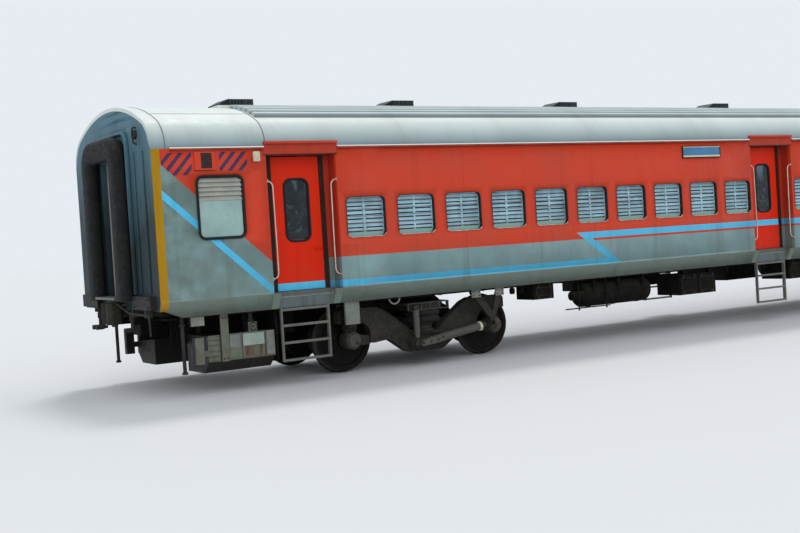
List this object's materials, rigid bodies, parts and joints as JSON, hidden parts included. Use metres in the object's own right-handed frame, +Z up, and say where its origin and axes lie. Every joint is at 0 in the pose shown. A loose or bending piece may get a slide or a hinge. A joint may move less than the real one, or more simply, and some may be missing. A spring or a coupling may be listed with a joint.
{
  "type": "passenger railway coach",
  "caption": "Broad-gauge passenger coach with ribbed roof, slatted side windows, hinged entrance doors, gangways and two swivelling bogies with turning wheelsets.",
  "frame": {"origin": "under the middle of the coach at the lowest point of the wheel flanges", "axes": "+X along the coach, +Y across it, +Z up; rail level is at z = 0.028 m"},
  "size_m": [24, 3.36, 4.1038],
  "materials": {
    "black_paint": "matt",
    "black_rubber": "matt",
    "board_paint": "satin",
    "cream_plastic": "matt",
    "door_paint": "satin paint",
    "end_paint": "satin paint",
    "grey_steel": "dusty, rust streaks",
    "inner_lining": "matt",
    "recess_paint": "dirty satin paint",
    "roof_paint": "dull aluminium paint",
    "running_gear_paint": "dusty black paint",
    "shutter_paint": "dusty paint",
    "side_paint": "faded satin paint",
    "stainless": "worn",
    "wheel_steel": "brown dust over steel",
    "window_glass": "dusty glass"
  },
  "bodies": {
    "coach": {"air_tanks": "running_gear_paint", "battery_boxes": "running_gear_paint", "corridor_walls": "inner_lining", "couplers": "running_gear_paint", "door_headers": "recess_paint", "door_posts": "recess_paint", "door_sills": "recess_paint", "end_walls": "end_paint", "fall_plates": "end_paint", "floor": "inner_lining", "gangway_bellows": "black_rubber", "gutters": "roof_paint", "hand_rails": "stainless", "headstocks": "black_paint", "lavatory_frames": "black_rubber", "lavatory_panes": "window_glass", "name_boards": "board_paint", "rail_feet": "stainless", "roof_ends": "roof_paint", "roof_middle": "roof_paint", "roof_vents": "black_paint", "screens": "inner_lining", "shutters_left": "shutter_paint", "shutters_right": "shutter_paint", "side_lamps": "cream_plastic", "side_panels_left": "side_paint", "side_panels_right": "side_paint", "side_skirts": "side_paint", "side_vents": "side_paint", "step_rungs": "grey_steel", "step_stiles": "grey_steel", "underframe": "running_gear_paint", "waste_tanks": "grey_steel", "yaw_brackets": "running_gear_paint"},
    "door_right_1": {"door_right_1_leaf": "door_paint", "door_right_1_window": "window_glass"},
    "door_left_1": {"door_left_1_leaf": "door_paint", "door_left_1_window": "window_glass"},
    "door_right_2": {"door_right_2_leaf": "door_paint", "door_right_2_window": "window_glass"},
    "door_left_2": {"door_left_2_leaf": "door_paint", "door_left_2_window": "window_glass"},
    "door_right_3": {"door_right_3_leaf": "door_paint", "door_right_3_window": "window_glass"},
    "door_left_3": {"door_left_3_leaf": "door_paint", "door_left_3_window": "window_glass"},
    "bogie_1": {"bogie_1_axleboxes": "running_gear_paint", "bogie_1_bolster": "running_gear_paint", "bogie_1_dampers": "running_gear_paint", "bogie_1_frame": "running_gear_paint", "bogie_1_springs": "running_gear_paint"},
    "bogie_2": {"bogie_2_axleboxes": "running_gear_paint", "bogie_2_bolster": "running_gear_paint", "bogie_2_dampers": "running_gear_paint", "bogie_2_frame": "running_gear_paint", "bogie_2_springs": "running_gear_paint"},
    "wheelset_1": {"wheelset_1": "wheel_steel"},
    "wheelset_2": {"wheelset_2": "wheel_steel"},
    "wheelset_3": {"wheelset_3": "wheel_steel"},
    "wheelset_4": {"wheelset_4": "wheel_steel"}
  },
  "joints": [
    {"name": "bogie_1_swivel", "type": "hinge", "parent": "coach", "child": "bogie_1", "pos_m": [-7.45, 0, 1], "axis": [0, 0, 1], "range_deg": [-2.5, 2.5]},
    {"name": "bogie_2_swivel", "type": "hinge", "parent": "coach", "child": "bogie_2", "pos_m": [7.45, 0, 1], "axis": [0, 0, 1], "range_deg": [-2.5, 2.5]},
    {"name": "wheelset_1_spin", "type": "hinge", "parent": "bogie_1", "child": "wheelset_1", "pos_m": [-8.73, 0, 0.4855], "axis": [0, 1, 0], "continuous": true},
    {"name": "wheelset_2_spin", "type": "hinge", "parent": "bogie_1", "child": "wheelset_2", "pos_m": [-6.17, 0, 0.4855], "axis": [0, 1, 0], "continuous": true},
    {"name": "wheelset_3_spin", "type": "hinge", "parent": "bogie_2", "child": "wheelset_3", "pos_m": [6.17, 0, 0.4855], "axis": [0, 1, 0], "continuous": true},
    {"name": "wheelset_4_spin", "type": "hinge", "parent": "bogie_2", "child": "wheelset_4", "pos_m": [8.73, 0, 0.4855], "axis": [0, 1, 0], "continuous": true},
    {"name": "door_right_1_hinge", "type": "hinge", "parent": "coach", "child": "door_right_1", "pos_m": [-9.978, -1.33, 1.3], "axis": [0, 0, 1], "range_deg": [0, 90]},
    {"name": "door_left_1_hinge", "type": "hinge", "parent": "coach", "child": "door_left_1", "pos_m": [9.978, 1.33, 1.3], "axis": [0, 0, 1], "range_deg": [0, 90]},
    {"name": "door_right_2_hinge", "type": "hinge", "parent": "coach", "child": "door_right_2", "pos_m": [0.374, -1.33, 1.3], "axis": [0, 0, -1], "range_deg": [0, 90]},
    {"name": "door_left_2_hinge", "type": "hinge", "parent": "coach", "child": "door_left_2", "pos_m": [-0.374, 1.33, 1.3], "axis": [0, 0, -1], "range_deg": [0, 90]},
    {"name": "door_right_3_hinge", "type": "hinge", "parent": "coach", "child": "door_right_3", "pos_m": [9.978, -1.33, 1.3], "axis": [0, 0, -1], "range_deg": [0, 90]},
    {"name": "door_left_3_hinge", "type": "hinge", "parent": "coach", "child": "door_left_3", "pos_m": [-9.978, 1.33, 1.3], "axis": [0, 0, -1], "range_deg": [0, 90]}
  ]
}
